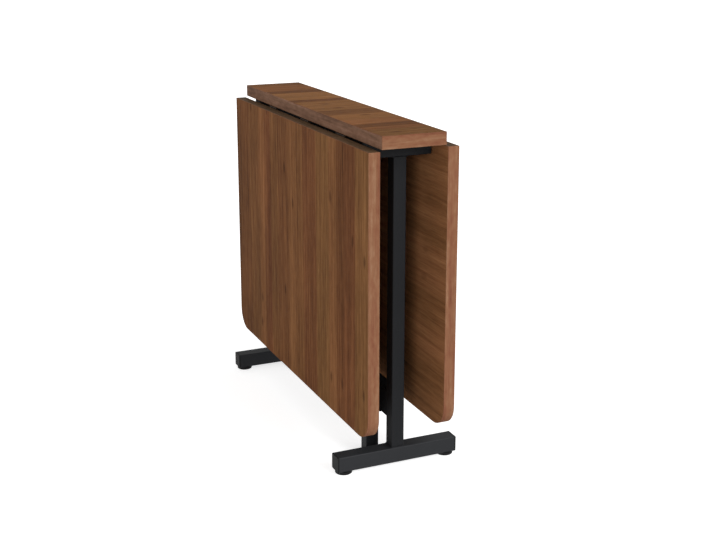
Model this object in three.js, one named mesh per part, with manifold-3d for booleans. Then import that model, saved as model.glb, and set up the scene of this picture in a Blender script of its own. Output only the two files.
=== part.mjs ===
// Extending dining table: a narrow board on two steel end frames, two hanging leaves and two gates.
// Millimetres, +Z up. X runs along the table, Y across it, and the floor is at zero.
// A half turn about Z brings one end and side of the table onto the other, so one half is made twice.

import * as THREE from 'three';
import { mergeVertices } from 'three/addons/utils/BufferGeometryUtils.js';
import Module from 'manifold-3d';

const wasm = await Module();
wasm.setup();

// Table top
const tableHeight = 753;
const boardLength = 850;
const boardWidth = 146;
const boardThickness = 28;
const leafFootClearance = 54;
const leafThickness = 26;
const leafCornerRadius = 50;

// End frames of square tube
const footTube = 35;
const footWall = 2;
const footLength = 288;
const footInset = 65;
const frameTube = 30;
const frameWall = 1.5;
const tubeCornerRadius = 2.5;
const tubeInnerRadius = 0.8;
const headBarShortfall = 1;

// Plastic plugs in the open tube ends
const footPlugFlange = 3;
const plugDepth = 9;
const plugPlay = 0.3;
const plugChamfer = 1;

// Round glides under the feet
const glideRadius = 19;
const glideHeight = 7;
const glideChamfer = 1;
const glideInset = 20.5;
const glideShankRadius = 4;
const glideShankLength = 12;

// Stretcher between the posts
const stretcherHeight = 60;
const stretcherClearance = 107;

// Gates that swing out under the leaves
const gateTube = 30;
const gateWall = 1.5;
const gateGap = 2;
const gateLegSetback = 32;
const gateFloorClearance = 1;
const gateGlideHeight = 6;
const gateTopPlay = 1.2;
const gateUnderHinges = 2.1;

// Pivots of the gates: a plate with a welded pin below and above, and a bush on each pin
const pivotPlateThickness = 3;
const pivotPlateHalfLength = 24;
const pivotPlateMargin = 1;
const pivotPinRadius = 4;
const pivotPinPlay = 0.3;
const bushFlange = 2;
const bushDepth = 16;

// Hinges of the leaves
const hingeGap = 1.4;
const hingeDrop = 2.9;
const hingeLength = 50;
const hingePlateWidth = 24;
const hingePlateThickness = 1.5;
const endHingeInset = 210;
const knuckleRadius = 2.5;
const knuckleCount = 5;
const knucklePlay = 0.4;
const hingePinRadius = 1.2;
const hingePinPlay = 0.3;

// Screw holes: countersunk ones in the hinges and pivot plates, plain ones through the frame
const hingeHoleRadius = 1.6;
const hingeSinkRadius = 2.9;
const hingeHolePitch = 18;
const hingeHoleStagger = 3;
const plateHoleRadius = 2.1;
const plateSinkRadius = 3.9;
const plateHolePitch = 34;
const plateHoleSpread = 18;
const frameHoleRadius = 2.5;
const headHoleSpread = 90;
const railHoleSpread = 240;

// Space left between pieces that touch, and how far a cutter passes through what it cuts
const seam = 0.3;
const overrun = 1;

// How finely round shapes are drawn
const cornerSteps = 2;
const leafCornerSteps = 8;
const roundSteps = 20;
const pinSteps = 8;
const holeSteps = 8;

// Heights and places that follow from the sizes
const boardUnder = tableHeight - boardThickness;
const leafPivotOut = boardWidth / 2 + hingeGap / 2;
const leafPivotHeight = boardUnder - hingeDrop;
const footBottom = glideHeight + seam;
const footTop = footBottom + footTube;
const leafReach = leafPivotHeight - hingeGap / 2 - footTop - leafFootClearance;
const footMiddle = boardLength / 2 - footInset - footTube / 2;
const headBottom = boardUnder - seam - frameTube;
const postBottom = footTop + seam;
const postTop = headBottom - seam;
const railReach = footMiddle - frameTube / 2 - seam;
const gateOut = frameTube / 2 + gateGap + gateTube / 2;
const gateLegAlong = footMiddle - footTube / 2 - gateLegSetback - gateTube / 2;
const gateTop = leafPivotHeight - knuckleRadius - gateUnderHinges;
const gateLegBottom = gateFloorClearance + gateGlideHeight + seam;
const lowerPlateTop = stretcherClearance - seam;
const lowerPlateBottom = lowerPlateTop - pivotPlateThickness;
const upperPlateTop = boardUnder - seam;
const upperPlateBottom = upperPlateTop - pivotPlateThickness;
const pivotTubeBottom = lowerPlateTop + seam + bushFlange + seam;
const pivotTubeRadius = gateTube / 2;
const hingePlaces = [-1, 0, 1].map((way) => way * (boardLength / 2 - endHingeInset));

// Finishes
const walnut = new THREE.MeshStandardMaterial({ color: 0x6c4a33, roughness: 0.5, metalness: 0 });
const blackSteel = new THREE.MeshStandardMaterial({ color: 0x1c1d1f, roughness: 0.45, metalness: 0.2 });
const blackPlastic = new THREE.MeshStandardMaterial({ color: 0x17181a, roughness: 0.6, metalness: 0 });
const whiteNylon = new THREE.MeshStandardMaterial({ color: 0xd8d6cf, roughness: 0.5, metalness: 0 });
const brownedSteel = new THREE.MeshStandardMaterial({ color: 0x3e3128, roughness: 0.4, metalness: 1 });

// Joins and cuts of closed shapes

function solid(geometry) {
  const bare = new THREE.BufferGeometry();
  bare.setAttribute('position', geometry.getAttribute('position'));
  bare.setIndex(geometry.getIndex());
  const merged = mergeVertices(bare);
  const corners = merged.getIndex().array;
  const kept = [];
  for (let i = 0; i < corners.length; i += 3) {
    const [a, b, c] = corners.slice(i, i + 3);
    if (a !== b && b !== c && c !== a) kept.push(a, b, c);
  }
  return new wasm.Manifold(new wasm.Mesh({
    numProp: 3,
    vertProperties: Float32Array.from(merged.getAttribute('position').array),
    triVerts: Uint32Array.from(kept),
  }));
}

function shapeOf(manifold) {
  const mesh = manifold.getMesh();
  const geometry = new THREE.BufferGeometry();
  geometry.setAttribute('position', new THREE.BufferAttribute(Float32Array.from(mesh.vertProperties), 3));
  geometry.setIndex(Array.from(mesh.triVerts));
  geometry.computeVertexNormals();
  return geometry;
}

function joined(...geometries) {
  return shapeOf(geometries.map(solid).reduce((whole, part) => whole.add(part)));
}

function cut(geometry, ...cutters) {
  return shapeOf(cutters.map(solid).reduce((whole, part) => whole.subtract(part), solid(geometry)));
}

// Plain shapes, each from its start to its end along an axis

const quarterTurn = Math.PI / 2;
const X = new THREE.Vector3(1, 0, 0);
const Y = new THREE.Vector3(0, 1, 0);
const Z = new THREE.Vector3(0, 0, 1);
const lyingAlong = {
  x: new THREE.Matrix4().makeBasis(Y, Z, X),
  y: new THREE.Matrix4().makeBasis(Z, X, Y),
  z: new THREE.Matrix4().makeBasis(X, Y, Z),
};

function block([x0, x1], [y0, y1], [z0, z1]) {
  const geometry = new THREE.BoxGeometry(x1 - x0, y1 - y0, z1 - z0);
  return geometry.translate((x0 + x1) / 2, (y0 + y1) / 2, (z0 + z1) / 2);
}

function rod(axis, start, end, radius, steps, startRadius = radius) {
  const geometry = new THREE.CylinderGeometry(radius, startRadius, end - start, steps);
  return geometry.rotateX(quarterTurn).translate(0, 0, (start + end) / 2).applyMatrix4(lyingAlong[axis]);
}

function turned(profile, steps) {
  const points = profile.map(([radius, height]) => new THREE.Vector2(radius, height));
  return new THREE.LatheGeometry(points, steps).rotateX(quarterTurn);
}

function roundedOutline(width, height, radius) {
  const x = width / 2 - radius;
  const y = height / 2 - radius;
  const outline = new THREE.Shape();
  [[x, y], [-x, y], [-x, -y], [x, -y]].forEach(([cx, cy], quarter) => {
    outline.absarc(cx, cy, radius, quarter * quarterTurn, (quarter + 1) * quarterTurn);
  });
  outline.closePath();
  return outline;
}

// A bar along X is width across and height up. One along Y is height across.
function bar(axis, start, end, width, height, radius) {
  const geometry = new THREE.ExtrudeGeometry(roundedOutline(width, height, radius), {
    depth: end - start,
    bevelEnabled: false,
    curveSegments: cornerSteps,
  });
  return geometry.translate(0, 0, start).applyMatrix4(lyingAlong[axis]);
}

// A tube's ends are open, or closed by welded caps as thick as its wall.
function tube(axis, start, end, width, height, wall, capped = false) {
  const extra = capped ? -wall : overrun;
  return cut(
    bar(axis, start, end, width, height, tubeCornerRadius),
    bar(axis, start - extra, end + extra, width - 2 * wall, height - 2 * wall, tubeInnerRadius),
  );
}

// A tube's end plug: a chamfered flange above zero that closes the tube, and a stub below zero inside it.
function plug(width, wall, flange) {
  const cap = new THREE.ExtrudeGeometry(roundedOutline(width, width, tubeCornerRadius), {
    depth: flange - plugChamfer,
    bevelThickness: plugChamfer,
    bevelSize: plugChamfer,
    bevelOffset: -plugChamfer,
    bevelSegments: 1,
    curveSegments: cornerSteps,
  });
  const under = block([-width, width], [-width, width], [-width, 0]);
  const edge = width / 2 - wall - plugPlay;
  const stub = block([-edge, edge], [-edge, edge], [-plugDepth, flange / 2]);
  return joined(cut(cap, under), stub);
}

// A screw hole up through a plate, with the cone for a flat head at its lower face.
function countersink(sinkRadius, radius, thickness) {
  return joined(
    rod('z', -overrun, thickness + overrun, radius, holeSteps),
    rod('z', -overrun, sinkRadius - radius, radius, holeSteps, sinkRadius + overrun),
  );
}

function addPiece(group, name, geometry, material, place = [0, 0, 0]) {
  const mesh = new THREE.Mesh(geometry, material);
  mesh.name = name;
  mesh.position.set(...place);
  group.add(mesh);
}

// The fixed board, and the two tubes that join the end frames

function addMiddle(group) {
  const along = [-boardLength / 2, boardLength / 2];
  const across = [-boardWidth / 2, boardWidth / 2];
  addPiece(group, 'centre_board', block(along, across, [boardUnder, tableHeight]), walnut);

  const stretcher = tube('x', -railReach, railReach, frameTube, stretcherHeight, frameWall);
  addPiece(group, 'stretcher', stretcher, blackSteel, [0, 0, stretcherClearance + stretcherHeight / 2]);

  const rail = tube('x', -railReach, railReach, frameTube, frameTube, frameWall);
  const holes = [-1, 1].map((way) => (
    rod('z', -frameTube, frameTube, frameHoleRadius, holeSteps).translate(way * railHoleSpread / 2, 0, 0)
  ));
  addPiece(group, 'upper_rail', cut(rail, ...holes), blackSteel, [0, 0, headBottom + frameTube / 2]);
}

// One end frame: a foot bar on two glides, a post, and a head bar screwed up into the board

function addEndFrame(group, end, sides) {
  const frame = new THREE.Group();
  frame.position.x = footMiddle;
  group.add(frame);
  const glideOut = footLength / 2 - glideInset;
  const footHalf = footLength / 2 - footPlugFlange - seam;
  const footMiddleHeight = footBottom + footTube / 2;
  const headHalf = boardWidth / 2 - headBarShortfall;

  const shankHoles = [-1, 1].map((way) => (
    rod('z', -footTube, 0, glideShankRadius + plugPlay, roundSteps).translate(0, way * glideOut, 0)
  ));
  const foot = cut(tube('y', -footHalf, footHalf, footTube, footTube, footWall), ...shankHoles);
  addPiece(frame, `${end}_foot_bar`, foot, blackSteel, [0, 0, footMiddleHeight]);

  const post = tube('z', postBottom, postTop, frameTube, frameTube, frameWall);
  addPiece(frame, `${end}_post`, post, blackSteel);

  const headHoles = [-1, 1].map((way) => (
    rod('z', -frameTube, frameTube, frameHoleRadius, holeSteps).translate(0, way * headHoleSpread / 2, 0)
  ));
  const head = cut(tube('y', -headHalf, headHalf, frameTube, frameTube, frameWall, true), ...headHoles);
  addPiece(frame, `${end}_head_bar`, head, blackSteel, [0, 0, headBottom + frameTube / 2]);

  const glide = turned([
    [0, 0],
    [glideRadius - glideChamfer, 0],
    [glideRadius, glideChamfer],
    [glideRadius, glideHeight],
    [glideShankRadius, glideHeight],
    [glideShankRadius, glideHeight + glideShankLength],
    [0, glideHeight + glideShankLength],
  ], roundSteps);
  const footPlug = plug(footTube, footWall, footPlugFlange);
  [-1, 1].forEach((way, i) => {
    addPiece(frame, `${end}_${sides[i]}_glide`, glide.clone(), blackPlastic, [0, way * glideOut, 0]);
    const outward = footPlug.clone().rotateX(-way * quarterTurn);
    const place = [0, way * (footHalf + seam), footMiddleHeight];
    addPiece(frame, `${end}_${sides[i]}_foot_plug`, outward, blackPlastic, place);
  });
}

// One leaf with its three hinges. They are drawn about the hinge line with the leaf level, reaching
// towards -Y, and a quarter turn lets the leaf hang.

function hingePlate(way, firstKnuckle) {
  const end = hingeLength / 2;
  const pitch = hingeLength / knuckleCount;
  const clear = knuckleRadius + knucklePlay;
  const top = hingeDrop - seam;
  const bottom = top - hingePlateThickness;
  const across = (...edges) => edges.map((edge) => way * edge).sort((a, b) => a - b);

  const parts = [block([-end, end], across(clear, hingePlateWidth), [bottom, top])];
  for (let knuckle = firstKnuckle; knuckle < knuckleCount; knuckle += 2) {
    const start = -end + knuckle * pitch + knucklePlay / 2;
    const stop = start + pitch - knucklePlay;
    parts.push(block([start, stop], across(0, clear + overrun), [bottom, top]));
    parts.push(rod('x', start, stop, knuckleRadius, pinSteps));
  }
  const sink = countersink(hingeSinkRadius, hingeHoleRadius, hingePlateThickness);
  const middle = (knuckleRadius + hingePlateWidth) / 2;
  const sinks = [-1, 0, 1].map((step) => {
    const out = middle + (step === 0 ? hingeHoleStagger : -hingeHoleStagger);
    return sink.clone().translate(step * hingeHolePitch, way * out, bottom);
  });
  const bore = rod('x', -end - overrun, end + overrun, hingePinRadius + hingePinPlay, pinSteps);
  return cut(joined(...parts), bore, ...sinks);
}

function leafPanel() {
  const end = boardLength / 2;
  const hinged = -hingeGap / 2;
  const corner = hinged - leafReach + leafCornerRadius;
  const outline = new THREE.Shape();
  outline.moveTo(end, hinged);
  outline.lineTo(-end, hinged);
  outline.absarc(-end + leafCornerRadius, corner, leafCornerRadius, Math.PI, 3 * quarterTurn);
  outline.absarc(end - leafCornerRadius, corner, leafCornerRadius, -quarterTurn, 0);
  outline.closePath();
  const panel = new THREE.ExtrudeGeometry(outline, {
    depth: leafThickness,
    bevelEnabled: false,
    curveSegments: leafCornerSteps,
  });
  return panel.translate(0, 0, hingeDrop);
}

function addLeaf(group, side, hingeNames) {
  const hingeLine = new THREE.Group();
  hingeLine.position.set(0, -leafPivotOut, leafPivotHeight);
  group.add(hingeLine);
  const hanging = new THREE.Group();
  hanging.rotation.x = quarterTurn;
  hingeLine.add(hanging);

  addPiece(hanging, `${side}_leaf`, leafPanel(), walnut);
  const boardPlate = hingePlate(1, 0);
  const leafPlate = hingePlate(-1, 1);
  const pin = rod('x', -hingeLength / 2, hingeLength / 2, hingePinRadius, pinSteps);
  hingePlaces.forEach((along, i) => {
    const hinge = `${side}_${hingeNames[i]}_hinge`;
    addPiece(hingeLine, `${hinge}_board_plate`, boardPlate.clone(), brownedSteel, [along, 0, 0]);
    addPiece(hingeLine, `${hinge}_pin`, pin.clone(), brownedSteel, [along, 0, 0]);
    addPiece(hanging, `${hinge}_leaf_plate`, leafPlate.clone(), brownedSteel, [along, 0, 0]);
  });
}

// One gate: a leg and a round pivot tube joined by two rails. Its group's origin is on the pivot line.

function bush(flange) {
  const bore = pivotPinRadius + pivotPinPlay;
  const shank = pivotTubeRadius - gateWall - plugPlay;
  return turned([
    [bore, -bushDepth],
    [shank, -bushDepth],
    [shank, 0],
    [pivotTubeRadius, 0],
    [pivotTubeRadius, flange],
    [bore, flange],
    [bore, -bushDepth],
  ], roundSteps);
}

function addGate(group, side) {
  const gate = new THREE.Group();
  gate.position.set(-gateLegAlong, -gateOut, 0);
  group.add(gate);
  const legAlong = 2 * gateLegAlong;

  const leg = tube('z', gateLegBottom, gateTop, gateTube, gateTube, gateWall);
  addPiece(gate, `${side}_gate_leg`, leg, blackSteel, [legAlong, 0, 0]);
  const glide = plug(gateTube, gateWall, gateGlideHeight).rotateX(Math.PI);
  addPiece(gate, `${side}_gate_glide`, glide, blackPlastic, [legAlong, 0, gateLegBottom - seam]);
  const slider = plug(gateTube, gateWall, boardUnder - gateTopPlay - gateTop - seam);
  addPiece(gate, `${side}_gate_slider`, slider, blackPlastic, [legAlong, 0, gateTop + seam]);

  const pivotTube = cut(
    rod('z', pivotTubeBottom, gateTop, pivotTubeRadius, roundSteps),
    rod('z', pivotTubeBottom - overrun, gateTop + overrun, pivotTubeRadius - gateWall, roundSteps),
  );
  addPiece(gate, `${side}_gate_pivot_tube`, pivotTube, blackSteel);
  const upperBush = bush(upperPlateBottom - gateTop - 2 * seam);
  addPiece(gate, `${side}_gate_upper_bush`, upperBush, whiteNylon, [0, 0, gateTop + seam]);
  const lowerBush = bush(bushFlange).rotateX(Math.PI);
  addPiece(gate, `${side}_gate_lower_bush`, lowerBush, whiteNylon, [0, 0, pivotTubeBottom - seam]);

  const rail = cut(
    tube('x', 0, legAlong - gateTube / 2 - seam, gateTube, gateTube, gateWall),
    rod('z', -gateTube, gateTube, pivotTubeRadius + seam, roundSteps),
  );
  addPiece(gate, `${side}_gate_upper_rail`, rail, blackSteel, [0, 0, gateTop - gateTube / 2]);
  addPiece(gate, `${side}_gate_lower_rail`, rail.clone(), blackSteel, [0, 0, pivotTubeBottom + gateTube / 2]);
}

// The fixed plates that carry the gate: a tongue with a round end under the stretcher, and a plate under
// the board

function addPivotPlates(group, side) {
  const pivot = new THREE.Group();
  pivot.position.set(-gateLegAlong, -gateOut, 0);
  group.add(pivot);
  const along = [-pivotPlateHalfLength, pivotPlateHalfLength];
  const half = gateTube / 2;

  const tongue = half + pivotPlateMargin;
  const lowerPlate = joined(
    block([-tongue, tongue], [0, gateOut + frameTube / 2], [lowerPlateBottom, lowerPlateTop]),
    rod('z', lowerPlateBottom, lowerPlateTop, tongue, roundSteps),
    rod('z', lowerPlateBottom + overrun, pivotTubeBottom + bushDepth, pivotPinRadius, roundSteps),
  );
  addPiece(pivot, `${side}_lower_pivot_plate`, lowerPlate, blackSteel);

  const upperPlate = joined(
    block(along, [-half, half], [upperPlateBottom, upperPlateTop]),
    rod('z', gateTop - bushDepth, upperPlateTop - overrun, pivotPinRadius, roundSteps),
  );
  const sink = countersink(plateSinkRadius, plateHoleRadius, pivotPlateThickness);
  const sinks = [[-1, -1], [-1, 1], [1, -1], [1, 1]].map(([x, y]) => (
    sink.clone().translate(x * plateHolePitch / 2, y * plateHoleSpread / 2, upperPlateBottom)
  ));
  addPiece(pivot, `${side}_upper_pivot_plate`, cut(upperPlate, ...sinks), blackSteel);
}

// The whole table. In a half, +X is its own end and -Y its own side.

const table = new THREE.Group();
addMiddle(table);

const halves = [
  { ends: ['far', 'near'], sides: ['left', 'right'], turn: 0 },
  { ends: ['near', 'far'], sides: ['right', 'left'], turn: Math.PI },
];
for (const { ends, sides, turn } of halves) {
  const half = new THREE.Group();
  half.rotation.z = turn;
  table.add(half);
  addEndFrame(half, ends[1], sides);
  addLeaf(half, sides[0], [ends[0], 'middle', ends[1]]);
  addPivotPlates(half, sides[0]);
  addGate(half, sides[0]);
}

export default table;
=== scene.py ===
# %% [markdown]
# # A folded drop-leaf table
#
# A narrow centre board stands on two T-shaped steel end frames. Two wide leaves hang from it on
# hinges, and behind each leaf a steel gate waits to swing out and carry it. The solid model has
# every piece to size but the screws. This script dresses it: rounded tubes, weld beads, rolled
# hinges, screws and the finishes. Lengths of shapes are written in millimetres and turned into
# metres at the end.

# %% Load the frame
import math

import bmesh
import bpy
from mathutils import Matrix, Vector


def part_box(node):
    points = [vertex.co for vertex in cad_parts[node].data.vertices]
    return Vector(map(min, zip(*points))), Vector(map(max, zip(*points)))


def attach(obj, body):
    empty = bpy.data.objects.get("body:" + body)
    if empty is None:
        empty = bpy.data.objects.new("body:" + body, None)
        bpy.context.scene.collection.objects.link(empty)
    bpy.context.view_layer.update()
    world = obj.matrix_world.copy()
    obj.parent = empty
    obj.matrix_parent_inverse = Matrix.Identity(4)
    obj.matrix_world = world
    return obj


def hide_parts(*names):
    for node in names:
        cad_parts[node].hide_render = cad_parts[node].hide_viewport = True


MM = 0.001
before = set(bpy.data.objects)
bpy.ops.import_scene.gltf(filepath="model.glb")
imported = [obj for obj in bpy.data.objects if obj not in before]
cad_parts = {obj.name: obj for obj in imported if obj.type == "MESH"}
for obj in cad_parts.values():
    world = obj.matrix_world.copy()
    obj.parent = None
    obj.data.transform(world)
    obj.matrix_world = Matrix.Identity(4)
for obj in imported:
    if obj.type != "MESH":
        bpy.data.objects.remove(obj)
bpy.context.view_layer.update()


def spans(node):
    """The spans of a CAD node along X, Y and Z, in millimetres."""
    return [tuple(round(end / MM, 2) for end in pair) for pair in zip(*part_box(node))]


def middle(span):
    return sum(span) / 2


def shown(name, data):
    """A new object in the scene."""
    thing = bpy.data.objects.new(name, data)
    bpy.context.scene.collection.objects.link(thing)
    return thing


# %% [markdown]
# ## The camera
#
# A camera could be placed by eye, but edges then never line up. This one was worked out from the
# corners of the table as the photograph shows them: a slightly long lens about 3 m away, 0.4 m
# higher than the board and turned down 13.7 degrees. A small shift lifts the table in the picture.

# %% Camera
CAMERA_PLACE = (2.526, -1.045, 1.16)
CAMERA_DOWN = math.radians(13.68)
CAMERA_YAW = math.radians(23.64)

camera_data = bpy.data.cameras.new("camera")
camera_data.sensor_width = 36
camera_data.lens = 59.25
camera_data.shift_y = -0.08
camera = shown("camera", camera_data)
camera.location = CAMERA_PLACE
camera.rotation_euler = (math.pi / 2 - CAMERA_DOWN, 0, math.pi / 2 - CAMERA_YAW)
bpy.context.scene.camera = camera
print("Camera distance in m:", round(Vector(CAMERA_PLACE).length, 2))

# %% [markdown]
# ## Shader sums as plain sums
#
# Every finish here is a tree of nodes. Wiring each Math node by hand is slow to read, so a small
# class wraps a socket and lets + - * / add the Math nodes. Colours can't go through Math nodes,
# which would turn them grey, so they are blended with Mix nodes.


# %% Wires
class Wire:
    """A node's output that can be used in sums."""

    def __init__(self, finish, socket):
        self.finish = finish
        self.socket = socket

    def math(self, operation, *values):
        return self.finish.node("ShaderNodeMath", {"operation": operation}, dict(enumerate(values)))

    def __add__(self, other):
        return self.math("ADD", self, other)

    __radd__ = __add__

    def __sub__(self, other):
        return self.math("SUBTRACT", self, other)

    def __rsub__(self, other):
        return self.math("SUBTRACT", other, self)

    def __mul__(self, other):
        return self.math("MULTIPLY", self, other)

    __rmul__ = __mul__

    def __truediv__(self, other):
        return self.math("DIVIDE", self, other)

    def sine(self):
        return self.math("SINE", self)

    def clamped(self):
        return self.finish.node("ShaderNodeClamp", {}, {0: self})

    def step(self, start, end):
        """Rises smoothly from 0 at start to 1 at end."""
        settings = {"interpolation_type": "SMOOTHSTEP"}
        return self.finish.node("ShaderNodeMapRange", settings, {0: self, 1: start, 2: end})

    def siblings(self):
        """All the outputs of the node that this one comes from."""
        return [Wire(self.finish, output) for output in self.socket.node.outputs]


print("Sums on sockets: + - * /")


# %% Finishes
class Finish:
    """A procedural material for one of the table's surfaces."""

    def __init__(self, name, slot, constants):
        self.slot = slot
        self.material = bpy.data.materials.new(name)
        self.material.use_nodes = True
        self.tree = self.material.node_tree
        self.tree.nodes.clear()
        self.shader = self.tree.nodes.new("ShaderNodeBsdfPrincipled")
        output = self.tree.nodes.new("ShaderNodeOutputMaterial")
        self.tree.links.new(self.shader.outputs[0], output.inputs[0])
        for name, value in constants.items():
            self.shader.inputs[name].default_value = value
        self.place = self.node("ShaderNodeTexCoord", {}, {}, "Object")
        self.wear = self.node("ShaderNodeAttribute", {"attribute_name": "wear"}, {}, "Fac")

    def node(self, kind, settings, values, output=0):
        """Adds a node: first its settings, then the values or links of its sockets."""
        made = self.tree.nodes.new(kind)
        for name, value in settings.items():
            if name == "stops":
                for _ in value[2:]:
                    made.color_ramp.elements.new(1)
                for element, (position, colour) in zip(made.color_ramp.elements, value):
                    element.position = position
                    element.color = (*colour, 1)
            else:
                setattr(made, name, value)
        for name, value in values.items():
            self.plug(made.inputs[name], value)
        return Wire(self, made.outputs[output])

    def plug(self, socket, value):
        if isinstance(value, Wire):
            self.tree.links.new(value.socket, socket)
        else:
            socket.default_value = value

    def axes(self, vector):
        """The three parts of a vector."""
        return self.node("ShaderNodeSeparateXYZ", {}, {0: vector}).siblings()

    def vector(self, x, y, z):
        return self.node("ShaderNodeCombineXYZ", {}, {0: x, 1: y, 2: z})

    def noise(self, vector, grains, detail, roughness, shift):
        """Noise of so many grains a metre along each part of a vector, spread from 0 to 1."""
        values = {"Vector": vector, "Location": shift, "Scale": grains}
        stretched = self.node("ShaderNodeMapping", {}, values)
        values = {"Vector": stretched, "Scale": 1, "Detail": detail, "Roughness": roughness}
        return self.node("ShaderNodeTexNoise", {}, values)

    def ramp(self, value, stops):
        return self.node("ShaderNodeValToRGB", {"stops": stops}, {0: value})

    def mixed(self, factor, first, second, way="MIX"):
        settings = {"data_type": "RGBA", "blend_type": way, "clamp_factor": True}
        return self.node("ShaderNodeMix", settings, {0: factor, 6: first, 7: second}, 2)

    def bump(self, height, strength, depth):
        values = {"Strength": strength, "Distance": depth, "Height": height}
        return self.node("ShaderNodeBump", {}, values)

    def wear_into(self, **sockets):
        """Plugs the finished colour, roughness and normal into the shader."""
        for name, value in sockets.items():
            self.plug(self.shader.inputs[name.replace("_", " ")], value)
        return self


def rgb(red, green, blue):
    """A colour as a paint card gives it, 0 to 255, turned into light."""
    parts = [value / 255 for value in (red, green, blue)]
    return tuple(p / 12.92 if p <= 0.04045 else ((p + 0.055) / 1.055) ** 2.4 for p in parts)


def paint(red, green, blue):
    """The same colour, opaque, as a Mix node takes it."""
    return rgb(red, green, blue) + (1,)


print("Mid walnut as light:", [round(value, 3) for value in rgb(122, 86, 60)])

# %% [markdown]
# ## Walnut effect board
#
# The panels are board with a printed walnut pattern. It shows bands 20 to 140 mm wide, some
# reddish and dark, some olive and light. A Wave texture would repeat itself, so a ramp across the
# panel sets where each band lies, how light it is and how red. Noise stretched along the grain
# makes streaks, mottling and short dark pores. A few cells of a Voronoi texture, picked by their
# random colour, make the knots. Slow noise bends the bands' edges by a few millimetres.

# %% Bands
BOARD_LENGTH = 850
BAND_BLUR = 2

# Each band starts at so many millimetres along the panel: its lightness, then its redness
LEAF_BANDS = [
    (-425, 0.34, 0.5), (-325, 0.52, 0.35), (-252, 0.72, 0.6), (-213, 0.5, 0.8), (-193, 0.3, 1.0),
    (-167, 0.45, 0.3), (-113, 0.38, 0.5), (-42, 0.74, 0.5), (6, 0.55, 0.4), (56, 0.4, 0.8),
    (138, 0.6, 0.1), (212, 0.78, 0.6), (256, 0.28, 0.7), (297, 0.43, 0.9), (357, 0.66, 0.2),
]
RIGHT_LEAF_BANDS = [
    (-425, 0.55, 0.2), (-352, 0.35, 0.8), (-301, 0.65, 0.3), (-205, 0.5, 0.5), (-150, 0.2, 0.9),
    (-118, 0.6, 0.4), (-20, 0.42, 0.6), (47, 0.7, 0.2), (140, 0.36, 0.7), (186, 0.6, 0.4),
    (286, 0.3, 0.9), (330, 0.5, 0.3), (392, 0.62, 0.4),
]
BOARD_BANDS = [
    (-425, 0.42, 0.5), (-375, 0.52, 0.8), (-278, 0.3, 0.5), (-232, 0.68, 0.5), (-111, 0.26, 0.5),
    (-73, 0.6, 0.4), (70, 0.42, 0.4), (137, 0.64, 0.5), (212, 0.68, 0.95), (271, 0.34, 0.6),
    (313, 0.5, 0.9), (346, 0.46, 0.1),
]


def band_stops(bands):
    """A ramp's stops for bands with short soft edges between them."""
    stops = []
    ends = [start for start, _, _ in bands[1:]] + [BOARD_LENGTH / 2]
    for (start, light, red), end in zip(bands, ends):
        for edge in (start + BAND_BLUR, end - BAND_BLUR):
            stops.append((edge / BOARD_LENGTH + 0.5, (light, red, 0)))
    return stops


print("Bands on the left leaf:", len(LEAF_BANDS))


# %% Grain
def wooden(name):
    """A finish for wood, which has only a faint gloss."""
    return Finish(name, "wood", {"Specular IOR Level": 0.01})


def wood_tones(third, *colours):
    """A ramp's stops for four colours from dark to light, the third at a place of its own."""
    return [(place, rgb(*colour)) for place, colour in zip((0.0, 0.35, third, 1.0), colours)]


GRAIN_TONES = wood_tones(0.65, (66, 40, 25), (104, 68, 46), (128, 88, 60), (154, 111, 77))
TOP_TONES = wood_tones(0.65, (64, 38, 21), (102, 66, 40), (126, 86, 54), (153, 110, 71))


def knots_in(finish, grain, streaks, seed):
    """1 in the few small knots, 0 elsewhere, with edges that the streaks push about."""
    across, _, along = finish.axes(grain)
    settings = {"feature": "F1", "voronoi_dimensions": "2D"}
    place = finish.vector(across * 17 + seed * 3, along * 7.5 + seed, 0)
    cell = finish.node("ShaderNodeTexVoronoi", settings, {"Vector": place, "Scale": 1})
    distance, pick = cell.siblings()[:2]
    chosen = finish.axes(pick)[0].step(0.84, 0.88)
    return (1 - (distance + (streaks - 0.5) * 0.12).step(0.03, 0.15)) * chosen


def grained(finish, grain, tone, redness, seed, tones, contrast=1.5, mottling=0.3, knottiness=0.55):
    """Puts streaks, pores and knots on a tone, and gives it colour, roughness and relief."""
    streaks = finish.noise(grain, (95, 8, 2.8), 6, 0.72, (seed, 0, 0))
    fibres = finish.noise(grain, (950, 50, 16), 2, 0.5, (0, seed, 0))
    clouds = finish.noise(grain, (8, 8, 3.5), 2, 0.5, (0, 0, seed))
    mottle = finish.noise(grain, (80, 12, 19), 3, 0.6, (seed, 0, seed))
    flecks = finish.noise(grain, (170, 12, 42), 2, 0.5, (seed, seed, seed))
    pores = finish.noise(grain, (1300, 80, 26), 1, 0.5, (seed, seed, 0)).step(0.6, 0.72)
    knots = knots_in(finish, grain, streaks, seed)

    tone = tone + (streaks - 0.5) * contrast + (mottle + flecks - 1) * mottling
    tone = tone + (fibres - 0.5) * 0.4 + (clouds - 0.5) * 0.5
    tint = redness + (clouds - 0.5) * 0.8 + (streaks - 0.5) * 0.6
    olive_or_red = finish.mixed(tint.clamped(), paint(250, 255, 232), paint(255, 240, 228))
    colour = finish.mixed(1.0, finish.ramp(tone.clamped(), tones), olive_or_red, "MULTIPLY")
    dark = (pores * 0.3 + knots * knottiness).clamped()
    colour = finish.mixed(dark, colour, paint(52, 30, 17))
    colour = finish.mixed(finish.wear * 0.3, colour, paint(92, 70, 56))

    roughness = 0.56 + (streaks - 0.5) * 0.12 + pores * 0.12 + clouds * 0.06
    relief = streaks * 0.3 + fibres * 0.3 - pores * 0.5 - knots * 0.4
    normal = finish.bump(relief, 0.35, 0.00025)
    return finish.wear_into(Base_Color=colour, Roughness=roughness, Normal=normal)


print("Tones of the grain:", len(GRAIN_TONES))


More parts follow.
